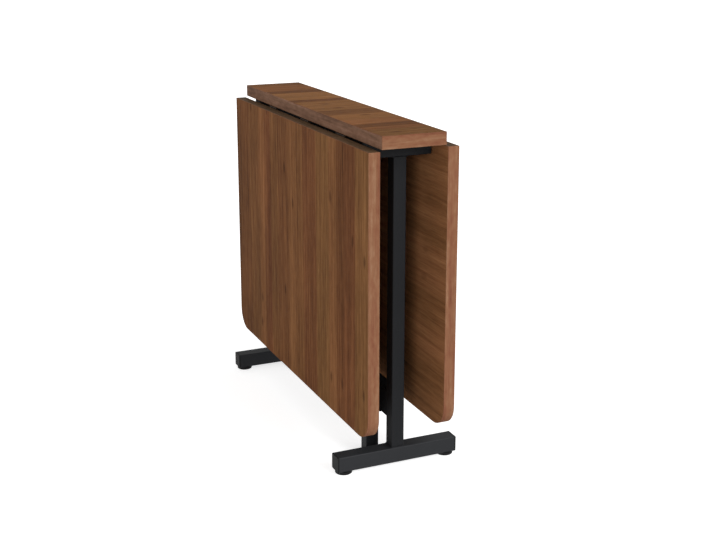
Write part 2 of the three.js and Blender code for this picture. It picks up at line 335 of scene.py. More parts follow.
# %% Banded walnut
def banded_walnut(name, along, depth, bands, seed, band_contrast, tones=GRAIN_TONES):
    """A face with its grain across the table's length, in bands."""
    finish = wooden(name)
    parts = finish.axes(finish.place)
    wobble = finish.noise(finish.place, (7, 7, 3), 2, 0.5, (seed, 0, 0)) - 0.5
    across = parts[0] + wobble * 0.008
    grain = finish.vector(across, parts[depth], parts[along])
    band = finish.ramp(across / (BOARD_LENGTH * MM) + 0.5, band_stops(bands))
    light, red, _ = finish.axes(band)
    return grained(finish, grain, (light - 0.5) * band_contrast + 0.5, red, seed, tones)


walnut_left_leaf = banded_walnut("walnut_left_leaf", 2, 1, LEAF_BANDS, 3.7, 0.6)
walnut_right_leaf = banded_walnut("walnut_right_leaf", 2, 1, RIGHT_LEAF_BANDS, 8.2, 0.6)
walnut_board_top = banded_walnut("walnut_board_top", 1, 2, BOARD_BANDS, 5.1, 1.05, TOP_TONES)
print("Nodes in a banded finish:", len(walnut_left_leaf.tree.nodes))

# %% [markdown]
# ## The undersides
#
# The faces that are hidden when the table is in use have the same walnut, with the grain along
# the table and the long thin lines of slightly wavy annual rings. Their tones are lighter than
# the outer faces', as painted light that lifts the shade between and under the panels. The
# rings are a sine of the place across the grain, pushed about by slow noise, and only its peaks
# are kept as lines.

# %% Underside walnut
# Lighter than the outer faces' tones: painted light for the shaded insides
INSIDE_TONES_PAINTED_LIGHT = wood_tones(0.65, (80, 52, 36), (125, 85, 59), (155, 111, 80), (184, 141, 104))
RING_TURN = 210  # radians a metre


def ringed_walnut(name, across, depth, seed):
    """A face with its grain along the table's length, lined by wavy rings."""
    finish = wooden(name)
    parts = finish.axes(finish.place)
    drift = finish.noise(finish.place, (2.2, 5, 5), 3, 0.5, (seed, seed, 0)) - 0.5
    place = parts[across] + drift * 0.02
    grain = finish.vector(place, parts[depth], parts[0])
    wide = finish.noise(grain, (22, 1, 1.1), 3, 0.55, (seed, 0, 0))
    rings = (place * RING_TURN + drift * 3).sine().step(0.6, 1.0)
    tone = wide * 0.5 + 0.27 - rings * 0.1
    return grained(finish, grain, tone, wide, seed, INSIDE_TONES_PAINTED_LIGHT, 0.8, 0.12, 0.2)


walnut_leaf_inside = ringed_walnut("walnut_leaf_inside", 2, 1, 2.6)
walnut_board_under = ringed_walnut("walnut_board_under", 1, 2, 6.4)
print("Rings in mm apart:", round(math.tau / RING_TURN / MM))

# %% [markdown]
# ## Edge band
#
# A strip about 1 mm thick covers the edges of each panel. Its print runs along the edge in
# pinkish and olive streaks. Noise that changes fast through the thickness and slowly the other
# two ways follows the edge round a corner with no seam, which a grain along one axis can't.

# %% Edge band
# The ends' tones are lighter than the faces' walnut: partly the band's print, partly painted light
# for the lit near ends
END_TONES_WITH_PAINTED_LIGHT = wood_tones(0.6, (90, 57, 41), (121, 78, 58), (131, 92, 68), (151, 118, 93))
LONG_TONES = wood_tones(0.6, (82, 60, 48), (113, 84, 67), (135, 101, 81), (159, 124, 104))
# The hinged edge's darker tones are painted shade: the board's overhang shades this edge
HINGED_TONES_PAINTED_SHADE = wood_tones(0.6, (58, 43, 31), (77, 60, 43), (94, 72, 53), (118, 91, 67))


def edge_band(name, through, slow, tones, seed):
    """A band for edges of a panel whose thickness lies along one axis."""
    finish = wooden(name)

    def streaks(fast, calm, detail, roughness, shift):
        grains = tuple(fast if axis == through else calm for axis in range(3))
        return finish.noise(finish.place, grains, detail, roughness, shift)

    broad = streaks(90, 5, 2, 0.5, (seed, 0, seed))
    mottle = streaks(120, 45, 3, 0.6, (0, 0, seed))
    fine = streaks(300, slow, 4, 0.6, (0, seed, 0))
    pores = streaks(900, 3 * slow, 1, 0.5, (seed, seed, 0)).step(0.6, 0.72)
    tone = broad * 0.9 + mottle * 0.7 + fine * 0.4 - 0.5
    colour = finish.mixed(pores * 0.25, finish.ramp(tone.clamped(), tones), paint(60, 40, 28))
    colour = finish.mixed(finish.wear * 0.45, colour, paint(76, 54, 42))
    roughness = 0.55 + (fine - 0.5) * 0.15 + pores * 0.1
    normal = finish.bump(fine * 0.4 - pores * 0.4, 0.3, 0.0002)
    return finish.wear_into(Base_Color=colour, Roughness=roughness, Normal=normal)


leaf_edge_band = edge_band("leaf_edge_band", 1, 6, END_TONES_WITH_PAINTED_LIGHT, 4.4)
# Darker, as painted shade, for the edges that hinge under the board
painted_shade_hinged_band = edge_band("painted_shade_hinged_band", 1, 6, HINGED_TONES_PAINTED_SHADE, 1.4)
board_end_band = edge_band("board_end_band", 2, 5, END_TONES_WITH_PAINTED_LIGHT, 7.9)
board_long_band = edge_band("board_long_band", 2, 5, LONG_TONES, 3.2)
print("Nodes in an edge band:", len(leaf_edge_band.tree.nodes))

# %% [markdown]
# ## Black steel, plastic, nylon and browned steel
#
# Powder coat melts into a skin with a faint orange peel: shallow hills about a millimetre wide.
# It rubs a little lighter on the tube corners and holds dust in broad patches. The corners are
# found by an attribute called wear that each piece carries, 1 on its corners and 0 on its flats.
# The foot bars have a lighter coat of their own: painted light that stands in for the stronger
# light from above and from the floor on them.
# Moulded plastic has a much finer grain. Browning is a thin dark oxide, which hides the metal on
# the hinges, while the screws keep some of its shine.

# %% Steel and plastic
# A relief is so many grains a metre along each axis, and a depth in metres
ORANGE_PEEL = ((850, 850, 850), 0.00012)
MOULD_GRAIN = ((2600, 2600, 2600), 0.00006)
NYLON_GRAIN = ((1800, 1800, 1800), 0.00005)
ROLLED_LINES = ((300, 2200, 2200), 0.00004)
TURNED_GRAIN = ((1500, 1500, 1500), 0.00004)

# Name, slot, colour, rubbed colour, relief, roughness, gloss, seed, and how metallic if at all
COATS = (
    ("powder_coat", "black_steel", (16, 17, 19), (38, 39, 42), ORANGE_PEEL, 0.55, 0.12, 1.3),
    # Lighter than the powder coat: painted light on the foot bars
    ("painted_light_foot_coat", "black_steel", (32, 33, 35), (60, 61, 64), ORANGE_PEEL, 0.6, 0.12, 1.7),
    ("black_plastic", "black_plastic", (14, 14, 15), (34, 34, 35), MOULD_GRAIN, 0.6, 0.12, 2.9),
    ("nylon", "nylon", (214, 211, 202), (190, 184, 170), NYLON_GRAIN, 0.5, 0.3, 4.1),
    ("browned_plate", "browned_steel", (26, 18, 13), (50, 38, 29), ROLLED_LINES, 0.65, 0.06, 5.3),
    ("screw_steel", "browned_steel", (38, 33, 30), (90, 82, 74), TURNED_GRAIN, 0.4, 0.3, 6.7, 0.6),
)


def coated(name, slot, base, rubbed, relief, roughness, gloss, seed, metallic=0.0):
    """A finish with a fine relief, rubbed corners and slow changes of colour and gloss."""
    finish = Finish(name, slot, {"Specular IOR Level": gloss, "Metallic": metallic})
    grain, depth = relief
    peel = finish.noise(finish.place, grain, 2, 0.55, (seed, 0, 0))
    dust = finish.noise(finish.place, (9, 9, 7), 4, 0.6, (0, seed, 0))
    scuffs = finish.noise(finish.place, (60, 420, 60), 3, 0.6, (0, 0, seed)).step(0.64, 0.74)
    rub = (finish.wear - 0.35 + (dust - 0.5) * 0.8).step(0.1, 0.7)
    lightness = (dust * 0.3 + scuffs * 0.12 + rub * 0.5).clamped()
    colour = finish.mixed(lightness, paint(*base), paint(*rubbed))
    rough = roughness + (dust - 0.5) * 0.16 + scuffs * 0.08 - rub * 0.06 + (peel - 0.5) * 0.08
    normal = finish.bump(peel, 0.3, depth)
    return finish.wear_into(Base_Color=colour, Roughness=rough.clamped(), Normal=normal)


coats = [coated(*coat) for coat in COATS]
powder_coat, painted_light_foot_coat, black_plastic, nylon, browned_plate, screw_steel = coats
print("Finishes:", len(bpy.data.materials))

# %% [markdown]
# ## Making and finishing a piece
#
# Each piece is shaped in a bmesh, in millimetres. The same last steps finish them all: a half
# turn about the table's middle where a piece belongs to the other half, normals that point
# outward, the wear attribute, and the call that makes the piece move with its body. Weighted
# normals keep flats flat beside their rounded edges, which plain smooth shading doesn't.

# %% Finishing a piece
SHARP = math.radians(40)
MIDDLE_OF_EDGE = 1 - math.sqrt(0.5)
made = []


def turn(bm, angle, axis):
    bmesh.ops.rotate(bm, matrix=Matrix.Rotation(angle, 3, axis), verts=bm.verts)
    return bm


def move(bm, x, y, z):
    bmesh.ops.translate(bm, vec=(x, y, z), verts=bm.verts)
    return bm


def edge_wear(normal, about):
    """1 where a normal points between two sides, or a round piece's mantle and end, else 0."""
    parts = [abs(part) for part in normal]
    if about is not None:
        along = parts.pop(about)
        parts = [math.hypot(*parts), along]
    return min(1, (1 - max(parts)) / MIDDLE_OF_EDGE)


def finished(name, bm, finishes, body, nodes=(), turned=False, about=None):
    """Turns a bmesh in millimetres into a piece of the table."""
    if turned:
        turn(bm, math.pi, "Z")
    bmesh.ops.scale(bm, vec=(MM, MM, MM), verts=bm.verts)
    bmesh.ops.recalc_face_normals(bm, faces=bm.faces)
    bm.normal_update()
    wear = bm.verts.layers.float.new("wear")
    for vert in bm.verts:
        vert[wear] = edge_wear(vert.normal, about)
    for face in bm.faces:
        face.smooth = True
    mesh = bpy.data.meshes.new(name)
    bm.to_mesh(mesh)
    bm.free()
    mesh.set_sharp_from_angle(angle=SHARP)
    for finish in finishes:
        mesh.materials.append(finish.material)
    piece = shown(name, mesh)
    shading = piece.modifiers.new("flat_flats", "WEIGHTED_NORMAL")
    shading.keep_sharp = True
    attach(piece, body)
    if nodes:
        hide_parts(*nodes)
    made.append(piece)


def dressed(how, node, bm, finishes, body, turned=False, about=None):
    """Finishes a piece that takes the place of one CAD node, named by how it is made."""
    finished(f"{how}_{node}", bm, finishes, body, (node,), turned, about)


print("A bevel's middle wears to:", round(edge_wear(Vector((1, 1, 0)).normalized(), None), 2))


# %% Boxes and soft edges
def slab(x, y, z):
    """A box from its three spans."""
    bm = bmesh.new()
    bmesh.ops.create_cube(bm, size=1)
    sides = [sorted(span) for span in (x, y, z)]
    bmesh.ops.scale(bm, vec=[high - low for low, high in sides], verts=bm.verts)
    return move(bm, *(middle(side) for side in sides))


def ease(bm, parts, radius, steps, affect="EDGES"):
    """Rounds edges, or the corners of a flat outline."""
    bmesh.ops.bevel(
        bm, geom=list(parts), offset=radius, offset_type="OFFSET", segments=steps, profile=0.5,
        affect=affect, material=-1, clamp_overlap=True,
    )


def along_axis(bm, axis):
    """The edges that run along an axis: 0 for X, 1 for Y, 2 for Z."""
    runs = ((edge, edge.verts[0].co - edge.verts[1].co) for edge in bm.edges)
    return [edge for edge, run in runs if abs(run.normalized()[axis]) > 0.999]


def sharp_edges(bm, degrees=40):
    return [e for e in bm.edges if e.is_manifold and e.calc_face_angle() > math.radians(degrees)]


print("Sharp from so many degrees:", round(math.degrees(SHARP)))

# %% [markdown]
# ## The board and the leaves
#
# Real panels are cut from sheet, banded and eased with fine paper. A box with a 0.8 mm bevel on
# its sharp edges catches the same thin line of light. The leaves' free corners are rounded to
# 50 mm first. The faces then take their finishes by where they point.

# %% Panels
LEAF_CORNER, PANEL_EASE = 50, 0.8


def face_finishes(bm, axis, low_finish, high_finish):
    """Gives the faces that point down and up an axis their finishes, and leaves the rest."""
    for face in bm.faces:
        towards = face.normal[axis]
        if abs(towards) > 0.999:
            face.material_index = high_finish if towards > 0 else low_finish


UNDER, TOP, LONG = 1, 2, 3
board_finishes = (board_end_band, walnut_board_under, walnut_board_top, board_long_band)
board = slab(*spans("centre_board"))
ease(board, board.edges, PANEL_EASE, steps=3)
board.normal_update()
face_finishes(board, 1, LONG, LONG)
face_finishes(board, 2, UNDER, TOP)
dressed("walnut", "centre_board", board, board_finishes, "frame")

EDGE, OUTER, INNER, HINGED = range(4)
for side, outer_walnut in (("left", walnut_left_leaf), ("right", walnut_right_leaf)):
    leaf_finishes = (leaf_edge_band, outer_walnut, walnut_leaf_inside, painted_shade_hinged_band)
    x, y, z = spans(f"{side}_leaf")
    leaf = slab(x, y, z)
    low_corners = [e for e in along_axis(leaf, 1) if e.verts[0].co.z < middle(z)]
    ease(leaf, low_corners, LEAF_CORNER, steps=20)
    ease(leaf, sharp_edges(leaf), PANEL_EASE, steps=3)
    leaf.normal_update()
    face_finishes(leaf, 2, EDGE, HINGED)
    face_finishes(leaf, 1, *((OUTER, INNER) if side == "left" else (INNER, OUTER)))
    dressed("walnut", f"{side}_leaf", leaf, leaf_finishes, f"{side}_leaf", about=1)
print("Panels made:", len(made))

# %% [markdown]
# ## Steel tubes
#
# The frame is square tube with rounded corners, cut and welded. No end of it stays open, so a
# closed bar with its four long edges rounded shows all that can be seen. The CAD has the walls.
# The table's far half is its near half turned half round.

# %% Tubes
TUBE_CORNER, TUBE_CORNER_STEPS = 2.5, 6
CUT_EASE = 0.3

# Each half: its end, what the near half's left and right become, whether it is turned
HALVES = (("near", "left", "right", False), ("far", "right", "left", True))


def tube(axis, x, y, z):
    """A bar along an axis, from its three spans, with rounded corners."""
    bm = slab(x, y, z)
    ease(bm, along_axis(bm, axis), TUBE_CORNER, TUBE_CORNER_STEPS)
    ease(bm, sharp_edges(bm, 60), CUT_EASE, 1)
    return bm


for end, _, _, turned in HALVES:
    for bar, axis in (("foot_bar", 1), ("post", 2), ("head_bar", 1)):
        bm = tube(axis, *spans(f"near_{bar}"))
        # The foot bars' lighter coat is painted light
        finish = painted_light_foot_coat if bar == "foot_bar" else powder_coat
        dressed("coated", f"{end}_{bar}", bm, (finish,), "frame", turned)

for bar in ("stretcher", "upper_rail"):
    dressed("coated", bar, tube(0, *spans(bar)), (powder_coat,), "frame")
print("Pieces so far:", len(made))

# %% [markdown]
# ## Glides and end plugs
#
# The table stands on four round plastic glides, pressed into holes in the foot bars. A lathe
# makes them: a profile is spun about Z, and its ends on the axis close into poles. The plugs are
# square lids with a softened rim and a shallow dished middle, as moulded lids have.


# %% A lathe
def lathe(profile, place=(0, 0, 0), steps=48):
    """Spins a profile of radius and height about an upright axis through a place."""
    bm = bmesh.new()
    verts = [bm.verts.new((radius, 0, height)) for radius, height in profile]
    for first, second in zip(verts, verts[1:]):
        bm.edges.new((first, second))
    bmesh.ops.spin(
        bm, geom=bm.verts[:] + bm.edges[:], cent=(0, 0, 0), axis=(0, 0, 1), dvec=(0, 0, 0),
        angle=math.tau, steps=steps, use_merge=True, use_duplicate=False,
    )
    bmesh.ops.remove_doubles(bm, verts=bm.verts, dist=1e-4)
    return move(bm, *place)


# Radius and height, from the middle of the sole up to the top of the shank
GLIDE = [
    (0, 0.4), (9, 0.4), (10, 0), (16.6, 0), (17.9, 0.4), (18.7, 1.2), (19, 2.4), (19, 6.1),
    (18.7, 6.8), (18, 7), (4, 7), (4, 18.2), (3.2, 19), (0, 19),
]
print("Glide across in mm:", 2 * max(radius for radius, _ in GLIDE))

# %% Glides and plugs
SEAM = 0.3  # the gap that the CAD leaves between pieces of one body
LID_RIM, STUB_GAP, STUB_DEPTH = 1, 0.3, 9


def verts_in(geom):
    return [part for part in geom if isinstance(part, bmesh.types.BMVert)]


def pull(bm, faces, vec, context="FACES_ONLY"):
    """Extrudes faces along a vector and removes what they leave behind."""
    moved = bmesh.ops.extrude_face_region(bm, geom=faces)["geom"]
    bmesh.ops.translate(bm, vec=vec, verts=verts_in(moved))
    bmesh.ops.delete(bm, geom=[f for f in faces if f.is_valid], context=context)


def lid(half, flange, wall):
    """A square lid from zero up, dished on top, with a stub down into a tube of that wall."""
    bm = slab((-half, half), (-half, half), (0, flange))
    ease(bm, along_axis(bm, 2), TUBE_CORNER, TUBE_CORNER_STEPS)
    top = [f for f in bm.faces if f.normal.z > 0.99]
    ease(bm, top[0].edges, LID_RIM, 3)
    bm.normal_update()
    top = [f for f in bm.faces if f.normal.z > 0.999]
    bmesh.ops.inset_region(bm, faces=top, thickness=0.8)
    bmesh.ops.inset_region(bm, faces=top, thickness=0.5, depth=-0.3)
    under = [f for f in bm.faces if f.normal.z < -0.999]
    bmesh.ops.inset_region(bm, faces=under, thickness=wall + STUB_GAP)
    pull(bm, under, (0, 0, -STUB_DEPTH))
    return bm


foot_x, foot_y, foot_z = spans("near_foot_bar")
for end, left, right, turned in HALVES:
    for near_side, side, way in (("left", left, -1), ("right", right, 1)):
        x, y, _ = spans(f"near_{near_side}_glide")
        plug = turn(lid(half=17.5, flange=3, wall=2), -way * math.pi / 2, "X")
        move(plug, middle(foot_x), way * (foot_y[1] + SEAM), middle(foot_z))
        name, glide = f"{end}_{side}", lathe(GLIDE, (middle(x), middle(y), 0))
        dressed("moulded", f"{name}_glide", glide, (black_plastic,), "frame", turned, about=2)
        dressed("moulded", f"{name}_foot_plug", plug, (black_plastic,), "frame", turned)
print("Pieces so far:", len(made))

# %% [markdown]
# ## The gates
#
# A gate is a square leg and a round pivot tube, joined by two rails whose ends are hollowed, or
# coped, to sit on the round tube. The cope is made by cutting the rail's end face into strips
# and moving its edge onto the circle. Two pins on fixed plates carry the gate in nylon bushes.

# %% Rails and bushes
PIVOT = tuple(middle(span) for span in spans("left_gate_pivot_tube")[:2])
GATE_LOW, GATE_TOP = spans("left_gate_pivot_tube")[2]
PIVOT_RADIUS, GATE_WALL = 15, 1.5
COPE = PIVOT_RADIUS + SEAM
TURNED_RIM = 0.4
BUSH_BORE, BUSH_SHANK, BUSH_DEPTH = 4.3, 13.2, 16


def edges_in(geom):
    return [part for part in geom if isinstance(part, bmesh.types.BMEdge)]


def cut(bm, place, normal, dist=1e-4, **clear):
    """Cuts a bmesh by a plane, and gives the points and edges of the cut."""
    geom = bm.verts[:] + bm.edges[:] + bm.faces[:]
    plane = {"plane_co": place, "plane_no": normal}
    return bmesh.ops.bisect_plane(bm, geom=geom, dist=dist, **plane, **clear)["geom_cut"]


def coped_rail(node):
    """A square rail whose far end sits on the pivot tube."""
    x, y, z = spans(node)
    bm = tube(0, (PIVOT[0], x[1]), y, z)
    end = cut(bm, (PIVOT[0] + 1, 0, 0), (1, 0, 0), clear_inner=True)
    bmesh.ops.contextual_create(bm, geom=edges_in(end))
    for strip in range(-13, 14):
        cut(bm, (0, PIVOT[1] + strip, 0), (0, 1, 0))
    for vert in bm.verts:
        if vert.co.x < PIVOT[0] + 2:
            vert.co.x = PIVOT[0] + math.sqrt(max(0, COPE**2 - (vert.co.y - PIVOT[1]) ** 2))
    return bm


def ring(inner, outer, low, high, rim=TURNED_RIM):
    """A closed profile for a turned tube, its outer rims chamfered."""
    edge = outer - rim
    return [
        (inner, low), (edge, low), (outer, low + rim), (outer, high - rim), (edge, high),
        (inner, high), (inner, low),
    ]


def bush(flange, way):
    """A bush about zero, its shank pushed into the tube one way and its flange outside it."""
    profile = [
        (BUSH_BORE, -BUSH_DEPTH), (BUSH_SHANK, -BUSH_DEPTH), (BUSH_SHANK, 0), (PIVOT_RADIUS, 0),
        (PIVOT_RADIUS, flange - TURNED_RIM), (PIVOT_RADIUS - TURNED_RIM, flange),
        (BUSH_BORE, flange), (BUSH_BORE, -BUSH_DEPTH),
    ]
    return [(radius, way * height) for radius, height in profile]


print("The gates turn at:", PIVOT, "from", GATE_LOW, "to", GATE_TOP)

# %% Gates
LEG = spans("left_gate_leg")
GATE_LID = {"half": 15, "flange": 6, "wall": GATE_WALL}
UPPER_FLANGE = spans("left_gate_upper_bush")[2][1] - GATE_TOP - SEAM


def left_gate():
    """The left gate's pieces: how made, node, shape, finish, and the axis of a round one."""
    pivot_tube = ring(PIVOT_RADIUS - GATE_WALL, PIVOT_RADIUS, GATE_LOW, GATE_TOP)
    upper_bush = lathe(bush(UPPER_FLANGE, way=1), (*PIVOT, GATE_TOP + SEAM))
    lower_bush = lathe(bush(flange=2, way=-1), (*PIVOT, GATE_LOW - SEAM))
    glide = turn(lid(**GATE_LID), math.pi, "X")
    move(glide, middle(LEG[0]), PIVOT[1], LEG[2][0] - SEAM)
    slider = move(lid(**GATE_LID), middle(LEG[0]), PIVOT[1], GATE_TOP + SEAM)
    return (
        ("coated", "leg", tube(2, *LEG), powder_coat),
        ("coated", "pivot_tube", lathe(pivot_tube, (*PIVOT, 0)), powder_coat, 2),
        ("coated", "upper_rail", coped_rail("left_gate_upper_rail"), powder_coat),
        ("coated", "lower_rail", coped_rail("left_gate_lower_rail"), powder_coat),
        ("turned", "upper_bush", upper_bush, nylon, 2),
        ("turned", "lower_bush", lower_bush, nylon, 2),
        ("moulded", "glide", glide, black_plastic),
        ("moulded", "slider", slider, black_plastic),
    )


for _, side, _, turned in HALVES:
    gate = f"{side}_gate"
    for how, node, bm, finish, *about in left_gate():
        dressed(how, f"{gate}_{node}", bm, (finish,), gate, turned, *about)
print("Pieces so far:", len(made))

# %% [markdown]
# ## Drilled plates
#
# Hinge and pivot plates are stamped sheet with countersunk holes. Drilling with a boolean leaves
# ragged faces, so the plate starts flat: an outline and circles, filled between, then given its
# thickness. A one-step bevel on a hole's rim is the countersink. The lower pivot plate is a
# tongue with a round end, pulled out of half a disc. Each pivot plate carries a welded pin.

# %% Drilled plates
HOLE_STEPS = 20
TOUCH, LEVEL = 0.1, 0.01  # near enough to a rim, and to one height


def drilled_plate(x, y, low, thickness, corner, holes, hole, sink):
    """A plate with rounded corners and holes countersunk from below."""
    bm = bmesh.new()
    bmesh.ops.create_grid(bm, x_segments=1, y_segments=1, size=0.5)
    x, y = sorted(x), sorted(y)
    bmesh.ops.scale(bm, vec=(x[1] - x[0], y[1] - y[0], 1), verts=bm.verts)
    move(bm, middle(x), middle(y), low)
    ease(bm, bm.verts[:], corner, steps=5, affect="VERTICES")
    bmesh.ops.delete(bm, geom=bm.faces[:], context="FACES_ONLY")
    for place in holes:
        matrix = Matrix.Translation((*place, low))
        bmesh.ops.create_circle(bm, radius=hole, segments=HOLE_STEPS, matrix=matrix)
    bmesh.ops.triangle_fill(bm, use_beauty=True, edges=bm.edges[:])
    top = bmesh.ops.extrude_face_region(bm, geom=bm.faces[:], use_keep_orig=True)["geom"]
    bmesh.ops.translate(bm, vec=(0, 0, thickness), verts=verts_in(top))
    bmesh.ops.recalc_face_normals(bm, faces=bm.faces)

    def rim(edge):
        return any(math.dist(edge.verts[0].co[:2], place) < hole + TOUCH for place in holes)

    def flat(edge):
        return abs(edge.verts[0].co.z - edge.verts[1].co.z) < LEVEL

    sharp = [e for e in sharp_edges(bm) if flat(e)]
    sinks = [e for e in sharp if rim(e) and e.verts[0].co.z < low + TOUCH]
    outside = [e for e in sharp if not rim(e)]
    ease(bm, sinks, sink, 1)
    ease(bm, [e for e in outside if e.is_valid], 0.25, steps=3)
    return bm


def add_to(bm, other):
    """Joins another bmesh to this one."""
    mesh = bpy.data.meshes.new("joined")
    other.to_mesh(mesh)
    other.free()
    bm.from_mesh(mesh)
    bpy.data.meshes.remove(mesh)
    return bm


print("Sides of a drilled hole:", HOLE_STEPS)

# %% Pivot plates
PLATE = 3
UPPER_PLATE, LOWER_PLATE = spans("left_upper_pivot_plate"), spans("left_lower_pivot_plate")
PLATE_UNDER = UPPER_PLATE[2][1] - PLATE
TONGUE_UNDER = LOWER_PLATE[2][0]
PLATE_HOLES = [(PIVOT[0] + x, PIVOT[1] + y) for x in (-17, 17) for y in (-9, 9)]
PIN_RADIUS, PIN_CHAMFER, PIN_STEPS = 4, 0.6, 32


def tongue(radius, back):
    """A plate with a round end about the pivot line, straight from there back."""
    bm = bmesh.new()
    bmesh.ops.create_cone(
        bm, cap_ends=True, segments=64, radius1=radius, radius2=radius, depth=PLATE,
        matrix=Matrix.Translation((*PIVOT, TONGUE_UNDER + PLATE / 2)),
    )
    half = cut(bm, (*PIVOT, 0), (0, 1, 0), dist=1e-3, clear_outer=True)
    bmesh.ops.contextual_create(bm, geom=edges_in(half))
    bm.normal_update()
    upright = [f for f in bm.faces if abs(f.normal.y) > 0.999]
    flat = [f for f in upright if f.calc_center_median().y > PIVOT[1] - 0.01]
    pull(bm, flat, (0, back - PIVOT[1], 0))
    bmesh.ops.recalc_face_normals(bm, faces=bm.faces)
    ease(bm, sharp_edges(bm), 0.35, steps=3)
    return bm


def pin(low, high):
    """A round pin with chamfered ends."""
    profile = ring(0, PIN_RADIUS, low, high, PIN_CHAMFER)[:-1]  # open along the axis
    return lathe(profile, (*PIVOT, 0), PIN_STEPS)


for _, side, _, turned in HALVES:
    upper = drilled_plate(
        *UPPER_PLATE[:2], PLATE_UNDER, PLATE, corner=4, holes=PLATE_HOLES, hole=2.1, sink=1.8,
    )
    add_to(upper, pin(UPPER_PLATE[2][0], PLATE_UNDER + 1))
    lower = tongue(radius=16, back=LOWER_PLATE[1][1])
    add_to(lower, pin(TONGUE_UNDER + 1, LOWER_PLATE[2][1]))
    for level, bm in (("upper", upper), ("lower", lower)):
        node = f"{side}_{level}_pivot_plate"
        dressed("coated", node, bm, (powder_coat,), "frame", turned)
print("Pieces so far:", len(made))

# %% [markdown]
# ## Hinges
#
# A butt hinge is two stamped plates whose tongues are rolled round one steel pin. Each knuckle is
# made the way it is in the press: a strip leaves the plate and a spin rolls it round the pin. The
# plates are drawn about the hinge line as if the leaf were level, and a quarter turn hangs it.

# %% Hinge pieces
HINGE_LINE = tuple(middle(span) for span in spans("left_middle_hinge_pin")[1:])
HINGE_HALF = 25
HINGE_HOLES = ((-18, 10.25), (0, 16.25), (18, 10.25))
SHEET_LOW, SHEET = 1.1, 1.5
KNUCKLES, KNUCKLE_GAP, KNUCKLE_TAIL = 5, 0.2, 4
ROLL_INSIDE, ROLL_OUTSIDE = 1.5, 2.5


def knuckle(start, end, way):
    """A tongue of the plate rolled round the pin."""
    bm = slab((start, end), (0, way * KNUCKLE_TAIL), (ROLL_INSIDE, ROLL_OUTSIDE))
    face = [f for f in bm.faces if abs(f.calc_center_median().y) < 0.01]
    bmesh.ops.spin(
        bm, geom=[*face, *face[0].edges, *face[0].verts], cent=(0, 0, 0), axis=(1, 0, 0),
        dvec=(0, 0, 0), angle=way * math.radians(300), steps=20, use_merge=False,
        use_duplicate=False,
    )
    return bm


def hinge_plate(way, first):
    """One plate, on the +Y side of the hinge line or the -Y side, with every second knuckle."""
    x, y = (-HINGE_HALF, HINGE_HALF), (way * 2.9, way * 24)
    holes = [(along, way * out) for along, out in HINGE_HOLES]
    bm = drilled_plate(x, y, SHEET_LOW, SHEET, corner=2, holes=holes, hole=1.6, sink=1.3)
    pitch = 2 * HINGE_HALF / KNUCKLES
    for place in range(first, KNUCKLES, 2):
        start = -HINGE_HALF + place * pitch + KNUCKLE_GAP
        add_to(bm, knuckle(start, start + pitch - 2 * KNUCKLE_GAP, way))
    return bm


def hinge_pin():
    bm = bmesh.new()
    bmesh.ops.create_cone(
        bm, cap_ends=True, segments=24, radius1=1.2, radius2=1.2, depth=2 * HINGE_HALF,
    )
    ease(bm, sharp_edges(bm), 0.3, steps=2)
    return turn(bm, math.pi / 2, "Y")


def hung(bm, along, hanging):
    """Puts a hinge piece at its place on the hinge line, turned down if it is on the leaf."""
    if hanging:
        turn(bm, math.pi / 2, "X")
    return move(bm, along, *HINGE_LINE)


print("Hinge line in mm, across and up:", HINGE_LINE)

# %% Hinges
# The place along the table, its name, and its name on the turned half
HINGE_PLACES = ((-215, "far", "near"), (0, "middle", "middle"), (215, "near", "far"))

for _, side, _, turned in HALVES:
    for along, *places in HINGE_PLACES:
        hinge = f"{side}_{places[turned]}_hinge"
        for how, node, bm, hanging in (
            ("stamped", f"{hinge}_board_plate", hinge_plate(1, 0), False),
            ("stamped", f"{hinge}_leaf_plate", hinge_plate(-1, 1), True),
            ("drawn", f"{hinge}_pin", hinge_pin(), False),
        ):
            body = f"{side}_leaf" if hanging else "frame"
            hung(bm, along, hanging)
            dressed(how, node, bm, (browned_plate,), body, turned, about=0)
print("Pieces so far:", len(made))

# %% [markdown]
# ## Screws
#
# The solids have the screw holes but not the fifty screws, so they are made here. A screw is
# turned from a profile, flat-headed in the plates and round-headed in the frame. The cross is a
# pocket: a cross of five squares is cut from the middle of the head and pushed in.

# %% One screw
SCREW_STEPS = 24
CROSS_REACH, CROSS_NARROWED, CROSS_DEPTH = 0.62, 0.55, 0.45  # parts of the head's radius


def cross_pocket(radius, depth):
    """A disc facing down, filled between its rim and a cross, with the cross pushed in."""
    bm = bmesh.new()
    bmesh.ops.create_grid(bm, x_segments=3, y_segments=3, size=CROSS_REACH * radius)
    centres = [(face, face.calc_center_median()) for face in bm.faces]
    corners = [face for face, at in centres if min(abs(at.x), abs(at.y)) > 0.1 * radius]
    bmesh.ops.delete(bm, geom=corners, context="FACES")
    for vert in bm.verts:
        for axis in (0, 1):
            if abs(vert.co[axis]) < 0.4 * radius:
                vert.co[axis] *= CROSS_NARROWED
    pull(bm, bm.faces[:], (0, 0, depth), "FACES")
    bmesh.ops.create_circle(bm, radius=radius, segments=SCREW_STEPS)
    rims = [e for e in bm.edges if e.is_boundary or e.is_wire]
    bmesh.ops.triangle_fill(bm, use_beauty=True, edges=rims)
    return bm


